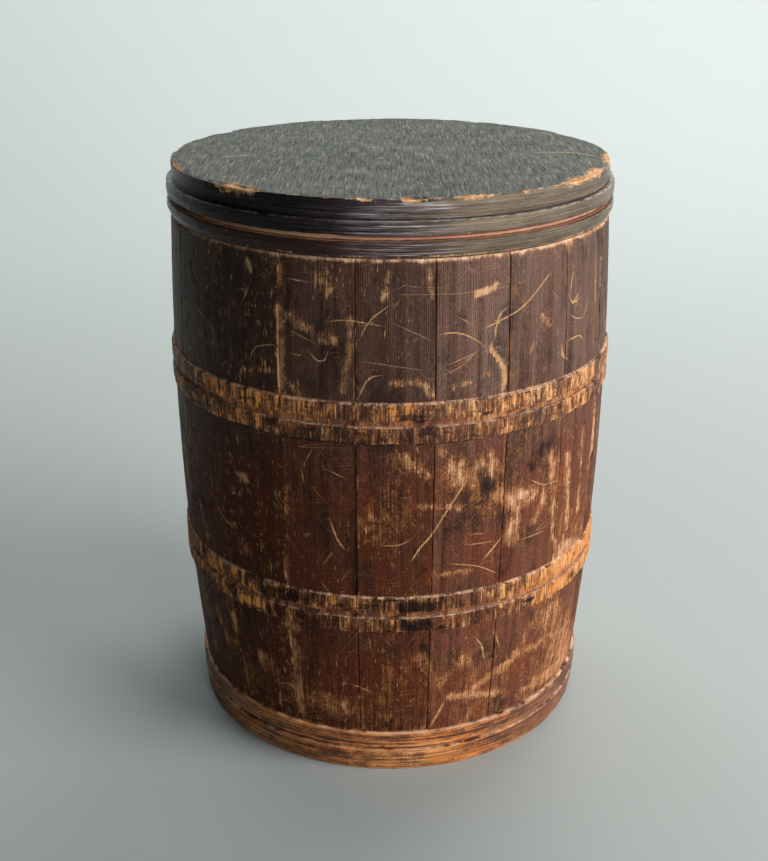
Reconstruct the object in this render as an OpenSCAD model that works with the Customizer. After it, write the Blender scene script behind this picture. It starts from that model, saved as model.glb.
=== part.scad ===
// Small turned wooden keg for tobacco. Glued staves carry two double hoops that are turned
// proud of them, a base board closes the keg from below, and the lid lifts straight off.
// Millimetres. The origin is the middle of the underside, +Z is up and the front is -Y.

/* [Staves] */
// Number of staves round the keg
stave_count = 19; // [12:1:24]
// Length of a stave, from the base to the lid
stave_len = 137.75; // [125:0.25:150]
// Outer radius at the mouth, under the lid
mouth_r = 61.4; // [59:0.1:64]
// Outer radius at the foot, on the base
foot_r = 58.6; // [57:0.1:62]
// Radius of the long arc that the staves bulge by
bulge_arc_r = 890; // [600:10:1500]
// Radius of the bore that all staves are turned to
bore_r = 52; // [46:0.5:54]
// Worn edge at the top of the staves
mouth_ease = 0.6; // [0.2:0.1:1.2]
// Angle of the first joint, from the front to the right
first_joint = 10.2; // [0:0.1:18]
// How far the joints stray from even spacing, in degrees
joint_drift = 0.9; // [0:0.1:2]

/* [Joint grooves] */
// Half width of the groove at a joint
joint_half_w = 0.3; // [0.2:0.05:0.6]
// Depth of the groove at a joint
joint_depth = 0.8; // [0.4:0.1:1.5]
// Half width of the groove's floor
joint_floor_half_w = 0.1; // [0.05:0.05:0.15]
// Plain stretch between a groove's end and a hoop, the base or the lid
joint_stop = 0.4; // [0.2:0.1:2]

/* [Hoops] */
// Height of the lower hoop above the base
low_hoop_up = 34.5; // [25:0.1:45]
// How far the lower hoop stands proud of the staves
low_hoop_proud = 0.85; // [0.5:0.05:1.5]
// Height of the upper hoop above the base
high_hoop_up = 90.3; // [80:0.1:105]
// How far the upper hoop stands proud of the staves
high_hoop_proud = 0.75; // [0.5:0.05:1.5]
// Height of each of a hoop's two bands
hoop_band_h = 4.6; // [3:0.1:6]
// Height of the groove between a hoop's bands
hoop_groove_h = 1.6; // [1:0.1:3]
// Depth of the groove between a hoop's bands
hoop_groove_depth = 0.9; // [0.5:0.1:1.5]
// Worn edges of the hoops
hoop_ease = 0.25; // [0.1:0.05:0.4]

/* [Base] */
// Height of the base below the staves
base_h = 12.75; // [10:0.25:18]
// Ledge of the base round the foot of the staves
base_ledge = 1; // [0.5:0.1:3]
// Height of the base's upper band
base_band_h = 4.6; // [3:0.1:5]
// Height of the groove under that band
base_groove_h = 1.2; // [0.8:0.1:2]
// Depth of the groove under that band
base_groove_depth = 0.8; // [0.4:0.1:2]
// How far the base draws in towards its underside
base_taper = 0.8; // [0.4:0.1:2]
// Worn edges of the base
base_ease = 0.6; // [0.2:0.1:1]
// Height of the spigot that goes up into the bore
spigot_h = 6.25; // [4:0.25:10]
// Glue gap round the spigot
spigot_gap = 0.1; // [0.05:0.05:0.3]

/* [Lid] */
// How far the lid's bands overhang the mouth
lid_overhang = 1; // [0.5:0.1:3]
// Height of the lid's lower band
lid_low_band_h = 4.3; // [3:0.1:6]
// Height of the bevel under the lower band
lid_bevel_h = 2.2; // [1:0.1:2.5]
// Depth of the bevel under the lower band
lid_bevel_depth = 1.2; // [0.4:0.1:2]
// Height of the groove between the lid's bands
lid_groove_h = 1.5; // [1:0.1:3]
// Depth of the groove between the lid's bands
lid_groove_depth = 2; // [1:0.1:3]
// Height of the lid's upper band
lid_high_band_h = 3.6; // [2.5:0.1:6]
// Height of the neck from the upper band to the lid's top
lid_neck_h = 5.1; // [3:0.1:8]
// How far the neck stands back from the bands
lid_neck_step = 1.6; // [0.8:0.1:3]
// Worn edges of the lid
lid_ease = 0.5; // [0.2:0.1:0.8]
// Length of the plug that goes down into the bore
plug_h = 4.5; // [3:0.25:8]
// Gap round the plug, so that the lid lifts freely
plug_gap = 0.5; // [0.3:0.1:1]

/* [Hidden] */
$fn = 360;
wood = "#5b3a2c";
wood_next = "#684636";
board = "#6f4a2f";
paint = "#3c3f3d";

// The staves' ends
stave_z = base_h;
mouth_z = stave_z + stave_len;

// Centre of the arc through foot and mouth, in the plane of radius and height
chord = [mouth_r - foot_r, stave_len];
chord_len = norm(chord);
arc_back = sqrt(pow(bulge_arc_r, 2) - pow(chord_len / 2, 2));
arc_r = (foot_r + mouth_r) / 2 - arc_back * chord.y / chord_len;
arc_z = stave_z + stave_len / 2 + arc_back * chord.x / chord_len;
function bulge_r(z) = arc_r + sqrt(pow(bulge_arc_r, 2) - pow(z - arc_z, 2));
function bulge_angle(z) = asin((z - arc_z) / bulge_arc_r);

// Hoops, and the plain panels of the staves between them
hoop_h = 2 * hoop_band_h + hoop_groove_h;
low_hoop_z = stave_z + low_hoop_up;
high_hoop_z = stave_z + high_hoop_up;
function hoop_r(z, proud) = bulge_r(z + hoop_h / 2) + proud;
panels = [
    [stave_z, low_hoop_z],
    [low_hoop_z + hoop_h, high_hoop_z],
    [high_hoop_z + hoop_h, mouth_z]
];

// Base and lid
base_r = foot_r + base_ledge;
base_groove_z = base_h - base_band_h - base_groove_h;
lid_r = mouth_r + lid_overhang;
lid_groove_z = mouth_z + lid_low_band_h;
lid_high_band_z = lid_groove_z + lid_groove_h;
lid_neck_z = lid_high_band_z + lid_high_band_h;
plug_r = bore_r - plug_gap;
spigot_r = bore_r - spigot_gap;

// Joint i is on the left of stave i + 1, and stave 1 faces the front
front = -90;
stave_pitch = 360 / stave_count;
function joint_angle(i) =
    front + first_joint + (i - 1) * stave_pitch - joint_drift * sin(2 * (i - 1) * stave_pitch);
function stave_name(i) = str("stave_", i < 10 ? "0" : "", i);

// A band from the axis out to r, with worn outer edges
module band_section(r, z, h, ease) {
    polygon([
        [0, z],
        [r - ease, z],
        [r, z + ease],
        [r, z + h - ease],
        [r - ease, z + h],
        [0, z + h]
    ]);
}

// A hoop's two bands with the groove between them
module hoop_section(z, proud) {
    r = hoop_r(z, proud);
    difference() {
        band_section(r, z, hoop_h, hoop_ease);
        translate([r - hoop_groove_depth, z + hoop_band_h])
            square([2 * hoop_groove_depth, hoop_groove_h]);
    }
}

// The long bulge of the staves, cut to their length and worn at the mouth
module bulge_section() {
    difference() {
        intersection() {
            translate([arc_r, arc_z]) circle(r = bulge_arc_r);
            translate([0, stave_z]) square([2 * mouth_r, stave_len]);
        }
        polygon([
            [mouth_r - mouth_ease, mouth_z + mouth_ease],
            [mouth_r - mouth_ease, mouth_z],
            [mouth_r + mouth_ease, mouth_z - 2 * mouth_ease],
            [mouth_r + mouth_ease, mouth_z + mouth_ease]
        ]);
    }
}

// What a stave shows when it is cut across: bulge and hoops outside, the bore inside
module stave_section() {
    difference() {
        union() {
            bulge_section();
            hoop_section(low_hoop_z, low_hoop_proud);
            hoop_section(high_hoop_z, high_hoop_proud);
        }
        square([bore_r, 2 * mouth_z]);
    }
}

// The V-shaped groove of a joint, swept along the bulge within one panel
module joint_groove(panel) {
    start = bulge_angle(panel[0] + joint_stop);
    end = bulge_angle(panel[1] - joint_stop);
    floor_r = bulge_arc_r - joint_depth;
    over_r = bulge_arc_r + joint_depth;
    over_half_w = 2 * joint_half_w - joint_floor_half_w;
    translate([arc_r, 0, arc_z])
        rotate([90, 0, 0])
            rotate_extrude(angle = end - start, start = start)
                polygon([
                    [floor_r, -joint_floor_half_w],
                    [over_r, -over_half_w],
                    [over_r, over_half_w],
                    [floor_r, joint_floor_half_w]
                ]);
}

module stave(i) {
    from = joint_angle(i - 1);
    to = joint_angle(i);
    color(i % 2 == 0 ? wood : wood_next)
        difference() {
            rotate_extrude(angle = to - from, start = from) stave_section();
            for (at = [from, to])
                for (panel = panels)
                    rotate([0, 0, at]) joint_groove(panel);
        }
}

module base() {
    foot_side_r = base_r - base_taper;
    color(board)
        rotate_extrude()
            difference() {
                union() {
                    translate([0, base_h]) square([spigot_r, spigot_h]);
                    band_section(base_r, base_groove_z, base_h - base_groove_z, base_ease);
                    polygon([
                        [0, 0],
                        [foot_side_r - base_ease, 0],
                        [foot_side_r, base_ease],
                        [base_r, base_groove_z],
                        [0, base_groove_z]
                    ]);
                }
                translate([base_r - base_groove_depth, base_groove_z])
                    square([2 * base_groove_depth, base_groove_h]);
            }
}

module lid() {
    lid_neck_r = lid_r - lid_neck_step;
    color(paint)
        rotate_extrude() {
            translate([0, mouth_z - plug_h]) square([plug_r, plug_h]);
            polygon([
                [0, mouth_z],
                [lid_r - lid_bevel_depth, mouth_z],
                [lid_r, mouth_z + lid_bevel_h],
                [lid_r, lid_groove_z],
                [0, lid_groove_z]
            ]);
            translate([0, lid_groove_z]) square([lid_r - lid_groove_depth, lid_groove_h]);
            band_section(lid_r, lid_high_band_z, lid_high_band_h, lid_ease);
            band_section(lid_neck_r, lid_neck_z, lid_neck_h, lid_ease);
        }
}

for (i = [1 : stave_count])
    stave(i);
base();
lid();
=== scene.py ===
"""A worn wooden tobacco keg: the looks of its staves, base and lid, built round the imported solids.

Lengths are millimetres until a mesh is made, and angles are degrees from the front, + to the right.
"""

from types import SimpleNamespace

import bpy
import numpy as np
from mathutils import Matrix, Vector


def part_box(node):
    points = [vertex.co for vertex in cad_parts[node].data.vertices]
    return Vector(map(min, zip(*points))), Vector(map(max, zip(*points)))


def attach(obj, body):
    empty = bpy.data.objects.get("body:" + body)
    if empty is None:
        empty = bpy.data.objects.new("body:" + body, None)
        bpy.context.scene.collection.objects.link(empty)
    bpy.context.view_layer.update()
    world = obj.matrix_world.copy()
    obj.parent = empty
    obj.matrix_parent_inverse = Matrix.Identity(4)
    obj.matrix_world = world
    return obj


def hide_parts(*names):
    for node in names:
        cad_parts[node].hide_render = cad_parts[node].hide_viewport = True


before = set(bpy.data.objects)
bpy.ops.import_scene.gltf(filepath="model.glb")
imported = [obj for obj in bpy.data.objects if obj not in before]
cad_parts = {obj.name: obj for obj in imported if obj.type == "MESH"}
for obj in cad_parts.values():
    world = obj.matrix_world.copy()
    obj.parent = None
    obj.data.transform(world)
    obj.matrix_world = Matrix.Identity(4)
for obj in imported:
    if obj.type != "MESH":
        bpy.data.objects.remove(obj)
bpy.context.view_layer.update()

MM = 0.001
SEED = 7

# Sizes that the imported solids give
STAVES = sorted(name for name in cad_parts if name.startswith("stave_"))
FOOT_Z, MOUTH_Z = (corner.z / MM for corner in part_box(STAVES[0]))
PLUG_Z, LID_TOP = (corner.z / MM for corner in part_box("lid"))
LID_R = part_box("lid")[1].x / MM
BASE_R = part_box("base")[1].x / MM
SPIGOT_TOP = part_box("base")[1].z / MM

# Sizes of the turned outlines
MOUTH_R = 61.4
FOOT_R = 58.6
BULGE_ARC = 890.0
BORE_R = 52.0
HOOP_BAND = 4.6
HOOP_GROOVE = 1.6
HOOP_GROOVE_DEPTH = 0.9
HOOP_H = 2 * HOOP_BAND + HOOP_GROOVE
LOW_HOOP_Z = FOOT_Z + 34.5
LOW_HOOP_PROUD = 0.85
HIGH_HOOP_Z = FOOT_Z + 90.3
HIGH_HOOP_PROUD = 0.75
LID_GROOVE_Z = MOUTH_Z + 4.3
LID_BAND_Z = LID_GROOVE_Z + 1.5
LID_NECK_Z = LID_BAND_Z + 3.6
LID_GROOVE_R = LID_R - 2.0
LID_NECK_R = LID_R - 1.6
LID_BEVEL_H = 2.2
LID_BEVEL_DEPTH = 1.2
PLUG_R = BORE_R - 0.5
BASE_GROOVE_Z = FOOT_Z - 5.8
BASE_GROOVE_H = 1.2
BASE_GROOVE_R = BASE_R - 0.8
BASE_FOOT_R = BASE_R - 0.8
SPIGOT_R = BORE_R - 0.1

# Spacing of the mesh on what shows
FINE = 0.42
EDGE_STEPS = [0.0, 0.07, 0.15, 0.24, 0.35, 0.5, 0.75]
ROUND_COLUMNS = 720
REF_R = 62.0

# Distance from a point behind the keg, in metres, over which the floor fades into the pale distance
FADE_FROM = 0.96
FADE_TO = 1.4
FADE_MIDDLE = (0.0, 0.45, 0.0)
FADE_STRETCH = (2.0, 1.0, 1.0)
# The pale distance lies this far above the floor, starts this far from the keg, and ends in a round shell
VEIL_LIFT = 0.002
VEIL_FROM = 0.4
SHELL_R = 9.0

# The view of the photograph, found from the outlines of lid, hoops and base
VIEW_PLACE = (-0.0017, -0.3589, 0.2295)
VIEW_TILT = 67.49
VIEW_LENS = 53.27
VIEW_SENSOR = 36.0

# How far from a thin mark its fields still reach, and how many of its half widths are cut into the skin
STROKE_REACH = 1.1
CUT_WIDTHS = 1.5
# How far the skin of lid and base may stand out
MOST_PROUD = 0.1
# How far round a corner its bend is felt, and how sharp an edge is left unsmoothed
BEND_REACH = 0.45
SHARP_DEGREES = 50
# How far apart the staves lie in the noises of their shape and of their grain
NOISE_APART = 97.0
GRAIN_APART = 37.0
# How far the grain moves on with each millimetre of depth
GRAIN_PER_DEPTH = 0.4

# The arc of the staves runs through their foot and mouth
chord = np.array([MOUTH_R - FOOT_R, MOUTH_Z - FOOT_Z])
chord_len = np.hypot(*chord)
arc_back = np.sqrt(BULGE_ARC**2 - (chord_len / 2) ** 2)
ARC_R = (FOOT_R + MOUTH_R) / 2 - arc_back * chord[1] / chord_len
ARC_Z = (FOOT_Z + MOUTH_Z) / 2 + arc_back * chord[0] / chord_len


def bulge_r(z):
    """Radius of the staves' plain surface at a height."""
    return ARC_R + np.sqrt(BULGE_ARC**2 - (z - ARC_Z) ** 2)


# Small tools for fields over a surface


def smooth(value, low, high):
    """0 below low, 1 above high, with an even curve between them."""
    t = np.clip((value - low) / (high - low), 0, 1)
    return t * t * (3 - 2 * t)


def between(value, low, high, soft):
    """1 from low to high, fading to 0 within a soft border on either side."""
    return smooth(value, low - soft, low) * (1 - smooth(value, high, high + soft))


def lattice(cell, seed):
    """A fixed number from 0 to 1 for each whole-number cell."""
    c = cell.astype(np.int64)
    h = c[..., 0] * 374761393 + c[..., 1] * 668265263 + c[..., 2] * 974634777 + seed * 1013904223
    h = (h ^ (h >> 13)) & 0xFFFFFFFF
    h = (h * 1274126177) & 0xFFFFFFFF
    h = h ^ (h >> 16)
    return (h & 0xFFFF) / 65535.0


def plain_noise(points, size, seed):
    """Smooth noise from 0 to 1, with features of the given size in millimetres."""
    p = points / size
    cell = np.floor(p)
    t = p - cell
    t = t * t * (3 - 2 * t)
    total = np.zeros(p.shape[:-1])
    for corner in np.ndindex(2, 2, 2):
        near = np.where(np.array(corner), t, 1 - t).prod(-1)
        total += near * lattice(cell + corner, seed)
    return total


def noise(points, size, seed, octaves=3):
    """Noise with finer noise on it, stretched to fill 0 to 1."""
    size = np.asarray(size, float)
    total, weight, whole = 0.0, 1.0, 0.0
    for octave in range(octaves):
        total = total + weight * plain_noise(points, size / 2**octave, SEED * 1000 + seed * 10 + octave)
        whole += weight
        weight *= 0.55
    return np.clip((total / whole - 0.5) * 1.5 + 0.5, 0, 1)


def to_line(x, y, line):
    """Signed distance to a line of points, how far along it the nearest point is, and its length."""
    shape = np.broadcast(x, y).shape
    best, signed, along, done = np.full(shape, 1e9), np.zeros(shape), np.zeros(shape), 0.0
    points = line * 2 if len(line) == 1 else line
    for (ax, ay), (bx, by) in zip(points[:-1], points[1:]):
        dx, dy = bx - ax, by - ay
        run = max(np.hypot(dx, dy), 1e-6)
        t = np.clip(((x - ax) * dx + (y - ay) * dy) / run**2, 0, 1)
        away = np.hypot(x - ax - t * dx, y - ay - t * dy)
        side = np.where(dx * (y - ay) - dy * (x - ax) < 0, -1.0, 1.0)
        near = away < best
        best = np.where(near, away, best)
        signed = np.where(near, away * side, signed)
        along = np.where(near, done + t * run, along)
        done += run
    return signed, along, done


def near_marks(x, marks, extra):
    """The marks that reach into the stretch that x covers."""
    kept = []
    for line, width, power in marks:
        reach = width + extra * max(width, 1)
        if max(p[0] for p in line) > x.min() - reach and min(p[0] for p in line) < x.max() + reach:
            kept.append((line, width, power))
    return kept


def patches(x, y, marks, edge):
    """The strongest of several soft marks at each place. edge is how soft a border is, in widths."""
    field = np.zeros(np.broadcast(x, y).shape)
    for line, width, power in near_marks(x, marks, edge):
        away = np.abs(to_line(x, y, line)[0])
        field = np.maximum(field, power * (1 - smooth(away, width * (1 - edge), width * (1 + edge))))
    return field


def strokes(x, y, marks):
    """Thin marks as two fields: distance across the nearest one, in its half widths, and its strength."""
    shape = np.broadcast(x, y).shape
    across, strength, best = np.full(shape, 9.0), np.zeros(shape), np.zeros(shape)
    for line, width, power in near_marks(x, marks, STROKE_REACH):
        away, along, length = to_line(x, y, line)
        reach = width + STROKE_REACH
        taper = smooth(along, -0.3, 2.5) * smooth(length - along, -0.3, 2.5)
        near = np.abs(away)
        here = power * (1 - smooth(near, reach / 2, reach)) * (0.35 + 0.65 * taper)
        score = here / (0.3 + near)
        take = score > best
        best = np.where(take, score, best)
        across = np.where(take, away / (width * (0.4 + 0.6 * taper)), across)
        strength = np.where(take, here, strength)
    return np.clip(across, -9, 9), strength


def arc_mm(degrees):
    """Length along the keg's skin for an angle from the front."""
    return np.radians(degrees) * REF_R


def curved(line):
    """A line of points with its corners cut twice, so that it bends smoothly."""
    for _ in range(2):
        if len(line) < 3:
            return line
        points = np.array(line)
        cut = np.stack([0.75 * points[:-1] + 0.25 * points[1:], 0.25 * points[:-1] + 0.75 * points[1:]], 1)
        line = [tuple(points[0]), *map(tuple, cut.reshape(-1, 2)[1:-1]), tuple(points[-1])]
    return line


def in_mm(marks):
    """Marks with their angles turned into lengths along the skin, and their corners rounded."""
    return [(curved([(arc_mm(a), z) for a, z in line]), width, power) for line, width, power in marks]


# Outlines in radius and height


def rounded(corners):
    """Points along runs between corners. A corner: radius, height, rounding, step of the run after it."""
    path = []
    last = len(corners) - 1
    for k, (r, z, ease, step) in enumerate(corners):
        here = np.array([r, z])
        before = np.array(corners[max(k - 1, 0)][:2])
        after = np.array(corners[min(k + 1, last)][:2])
        end = here
        if ease and 0 < k < last:
            start = here + (before - here) * ease / np.linalg.norm(before - here)
            end = here + (after - here) * ease / np.linalg.norm(after - here)
            for t in np.linspace(0, 1, 6):
                path.append((1 - t) ** 2 * start + 2 * t * (1 - t) * here + t * t * end)
        else:
            path.append(here)
        if k < last:
            stop = after + (here - after) * corners[k + 1][2] / np.linalg.norm(after - here)
            count = int(np.linalg.norm(stop - end) / step)
            for t in np.arange(1, count) / max(count, 1):
                path.append(end + (stop - end) * t)
    return np.array(path)


def bends(path, closed):
    """Outward normals of an outline, and how convex or hollow it is at each point, from 0 to 1."""
    if closed:
        ahead = np.roll(path, -1, 0) - path
        behind = path - np.roll(path, 1, 0)
    else:
        ahead = np.diff(path, axis=0, append=2 * path[-1:] - path[-2:-1])
        behind = np.diff(path, axis=0, prepend=2 * path[:1] - path[1:2])
    len_a = np.linalg.norm(ahead, axis=1, keepdims=True)
    len_b = np.linalg.norm(behind, axis=1, keepdims=True)
    tangent = ahead / len_a + behind / len_b
    tangent /= np.linalg.norm(tangent, axis=1, keepdims=True)
    normal = np.stack([tangent[:, 1], -tangent[:, 0]], 1)
    turn = (behind[:, 0] * ahead[:, 1] - behind[:, 1] * ahead[:, 0]) / (len_a * len_b)[:, 0]
    apart = np.linalg.norm(path[:, None] - path[None], axis=2)
    near = np.exp(-((apart / BEND_REACH) ** 2))
    convex = np.clip((near * np.clip(turn, 0, 1)[None]).sum(1), 0, 1)
    hollow = np.clip((near * np.clip(-turn, 0, 1)[None]).sum(1), 0, 1)
    return normal, convex[:, None], hollow[:, None]


# Meshes


def make_mesh(name, places, faces, fields):
    """A mesh from places in millimetres and a list of face arrays, with fields kept as attributes."""
    mesh = bpy.data.meshes.new(name)
    sizes = np.concatenate([np.full(len(f), f.shape[1]) for f in faces])
    corners = np.concatenate([f.ravel() for f in faces])
    mesh.vertices.add(len(places))
    mesh.vertices.foreach_set("co", (places * MM).astype(np.float32).ravel())
    mesh.loops.add(len(corners))
    mesh.loops.foreach_set("vertex_index", corners.astype(np.int32))
    mesh.polygons.add(len(sizes))
    mesh.polygons.foreach_set("loop_start", np.concatenate([[0], np.cumsum(sizes)[:-1]]).astype(np.int32))
    mesh.polygons.foreach_set("use_smooth", np.ones(len(sizes), bool))
    mesh.update(calc_edges=True)
    mesh.set_sharp_from_angle(angle=np.radians(SHARP_DEGREES))
    for key, values in fields.items():
        flat = values.reshape(len(places), -1).astype(np.float32)
        kind, slot = ("FLOAT_VECTOR", "vector") if flat.shape[1] == 3 else ("FLOAT", "value")
        mesh.attributes.new(key, kind, "POINT").data.foreach_set(slot, flat.ravel())
    mesh.validate()
    piece = bpy.data.objects.new(name, mesh)
    bpy.context.scene.collection.objects.link(piece)
    return piece


def grid_faces(rows, columns, close_rows, close_columns):
    """Quads between the points of a grid, row by row."""
    r = np.arange(rows if close_rows else rows - 1)[:, None]
    c = np.arange(columns if close_columns else columns - 1)[None]
    r2, c2 = (r + 1) % rows, (c + 1) % columns
    quad = [r * columns + c, r * columns + c2, r2 * columns + c2, r2 * columns + c]
    return np.stack([np.broadcast_to(q, (r.size, c.size)) for q in quad], -1).reshape(-1, 4)


def turned(angle, r, z):
    """Places round the axis."""
    a = np.radians(angle)
    return np.stack(np.broadcast_arrays(r * np.sin(a), -r * np.cos(a), z), -1)


def dress(piece, node, body, material):
    """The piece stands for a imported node, rides on its body and has its finish."""
    piece.data.materials.append(material)
    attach(piece, body)
    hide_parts(node)


def round_surface(path):
    """The grid of a turned board's skin. Its outline starts and ends on the axis."""
    s = SimpleNamespace(path=path, r=path[1:-1, :1], z=path[1:-1, 1:])
    s.normal, s.convex, s.hollow = (part[1:-1] for part in bends(path, closed=False))
    s.angle = np.linspace(0, 360, ROUND_COLUMNS, endpoint=False)[None]
    s.places = turned(s.angle, s.r, s.z)
    return s


def turned_piece(name, s, off, fields):
    """A turned board's closed mesh, pushed out by off along its normal."""
    rows, columns = off.shape
    grid = turned(s.angle, s.r + off * s.normal[:, :1], s.z + off * s.normal[:, 1:])
    poles = np.array([[0, 0, s.path[0, 1]], [0, 0, s.path[-1, 1]]])
    places = np.concatenate([grid.reshape(-1, 3), poles])
    ring = np.arange(columns)
    ahead = (ring + 1) % columns
    top = (rows - 1) * columns
    low_pole, high_pole = np.full(columns, rows * columns), np.full(columns, rows * columns + 1)
    faces = [
        grid_faces(rows, columns, close_rows=False, close_columns=True),
        np.stack([low_pole, ahead, ring], 1),
        np.stack([high_pole, top + ring, top + ahead], 1),
    ]
    whole = {}
    for key, values in fields.items():
        full = np.broadcast_to(values, (rows, columns))
        whole[key] = np.concatenate([full.ravel(), [full[0].mean(), full[-1].mean()]])
    whole["grain"] = places
    return make_mesh(name, places, faces, whole)


# Marks on the staves, as lines of (degrees from the front, height)
# Each scratch: line, half width, strength
SCRATCHES = [
    ([(-35.4, 147.8), (-35, 146.5), (-34.6, 145)], 0.6, 1.0),
    ([(-57, 131.5), (-53.5, 130), (-50.5, 128.5)], 0.15, 0.6),
    ([(-35.2, 140.5), (-36.9, 137)], 0.4, 0.8), ([(-39, 139), (-35, 140.5)], 0.13, 0.5),
    ([(-41.5, 134.5), (-41.7, 131.5)], 0.2, 0.7), ([(-41, 123), (-41, 120)], 0.2, 0.7),
    ([(-49, 138.5), (-51.5, 136)], 0.25, 0.6), ([(-62.5, 127.5), (-62, 125)], 0.3, 0.6),
    ([(-66, 117), (-62.5, 115), (-58.5, 114.5)], 0.2, 0.6), ([(-52.5, 121), (-52, 119)], 0.25, 0.6),
    ([(-40.3, 99.5), (-40, 96.5)], 0.45, 0.7), ([(-31.5, 64.5), (-31.7, 60.5)], 0.25, 0.7),
    ([(-17, 61), (-15.7, 59)], 0.3, 0.7),
    ([(-35, 121), (-34.5, 124), (-32.5, 126), (-27.5, 127)], 0.15, 0.6),
    ([(-24, 131.5), (-18, 129)], 0.15, 0.5),
    ([(-19, 126.5), (-17, 124), (-15, 124.5), (-14.5, 127)], 0.18, 0.7),
    ([(-24, 125.5), (-21, 125), (-20.5, 126.5)], 0.15, 0.6), ([(-24.5, 144.5), (-18, 144)], 0.18, 0.5),
    ([(-17, 147), (-17.5, 141.5)], 0.2, 0.6), ([(-13, 147), (-14, 144.5)], 0.2, 0.5),
    ([(-15, 134.5), (-10.5, 135.5), (-1.5, 134)], 0.18, 0.5),
    ([(-7, 131), (-4.5, 136), (0, 139.5)], 0.18, 0.6),
    ([(-7.5, 115), (-6, 119), (-4.5, 121), (-2, 121.5)], 0.2, 0.7),
    ([(-7, 125), (0, 124), (8, 122.5)], 0.12, 0.3), ([(0.5, 138.5), (2, 140.5)], 0.2, 0.6),
    ([(1, 142), (18, 141.5), (28.5, 142)], 0.12, 0.28), ([(3, 144), (14, 143)], 0.1, 0.22),
    ([(0, 135), (5, 132.5), (9.5, 130)], 0.13, 0.36),
    ([(11, 131.5), (14.5, 132), (18.5, 130.5), (22, 127.5)], 0.2, 0.75),
    ([(15, 136), (19, 133.5)], 0.16, 0.6),
    ([(21.5, 132), (26, 133.5), (31.5, 135.5), (35.5, 138.5), (41, 143.5)], 0.2, 0.75),
    ([(28.5, 137), (26, 135.5), (25, 132.5), (24.5, 128.5)], 0.22, 0.8),
    ([(24, 128.5), (23.5, 126.5), (25.5, 124), (27.5, 121), (27.5, 117), (27, 114)], 0.75, 0.8),
    ([(13, 123.5), (21, 126.5)], 0.16, 0.5), ([(12, 121), (17, 123), (20.5, 127)], 0.14, 0.5),
    ([(48.7, 136), (49, 139.5), (50, 142.5)], 0.3, 0.7),
    ([(57.2, 133.5), (56.8, 130), (54.5, 128)], 0.2, 0.6), ([(52.8, 136), (50, 133)], 0.3, 0.7),
    ([(41.8, 149.3), (43.3, 147)], 0.25, 0.7), ([(39.8, 150), (38.5, 147.8)], 0.2, 0.6),
    ([(62, 136), (62.3, 129)], 0.25, 0.6), ([(42, 137.8), (43.2, 136.4)], 0.4, 0.6),
    ([(43.6, 128), (44, 126)], 0.4, 0.6), ([(48, 136), (49.5, 133), (53, 134)], 0.3, 0.7),
    ([(49, 130.5), (51.5, 128.5), (55.5, 128)], 0.2, 0.65),
    ([(47.5, 123.5), (53.5, 124), (55.5, 121.5)], 0.22, 0.7),
    ([(45.5, 123), (46, 120), (48, 118.5)], 0.45, 0.85), ([(-21.5, 94), (-21, 90.5)], 0.25, 0.8),
    ([(-15, 95), (-10.5, 93)], 0.18, 0.7), ([(-20.5, 96.5), (-18.5, 100.5)], 0.18, 0.55),
    ([(-14.5, 80.5), (-13, 75), (-11, 72)], 0.25, 0.8),
    ([(-51, 77.5), (-50, 74), (-46.5, 71.5), (-43, 70)], 0.2, 0.55),
    ([(5, 69), (7, 73), (10, 76.5), (13, 82.5), (16, 87.5), (18.5, 92)], 0.25, 0.75),
    ([(19.5, 75.5), (24, 75)], 0.18, 0.6), ([(18.5, 72.5), (26.5, 72)], 0.18, 0.6),
    ([(23.5, 67), (25.5, 69), (29, 73)], 0.3, 0.8), ([(36.5, 87.5), (41.5, 84), (47.5, 84)], 0.2, 0.6),
    ([(34.5, 70), (43, 70)], 0.2, 0.6), ([(14.5, 67.5), (22.5, 65.5), (28.5, 61)], 0.2, 0.6),
    ([(-2.5, 74), (2.5, 74), (5, 76)], 0.2, 0.5), ([(15, 22.5), (13, 17.5), (11, 13.5)], 0.4, 0.75),
    ([(22.5, 42.5), (25, 39), (26, 33.5)], 0.25, 0.75), ([(28.5, 42.5), (30.5, 36.5)], 0.25, 0.75),
    ([(-46.5, 30.5), (-44.5, 24.5), (-44.5, 15.5)], 0.2, 0.6), ([(-5, 41), (-5.5, 46)], 0.18, 0.45),
    ([(-14, 46.5), (-10.5, 47)], 0.14, 0.35), ([(-10.5, 29), (-5, 27)], 0.2, 0.7),
]
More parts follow.
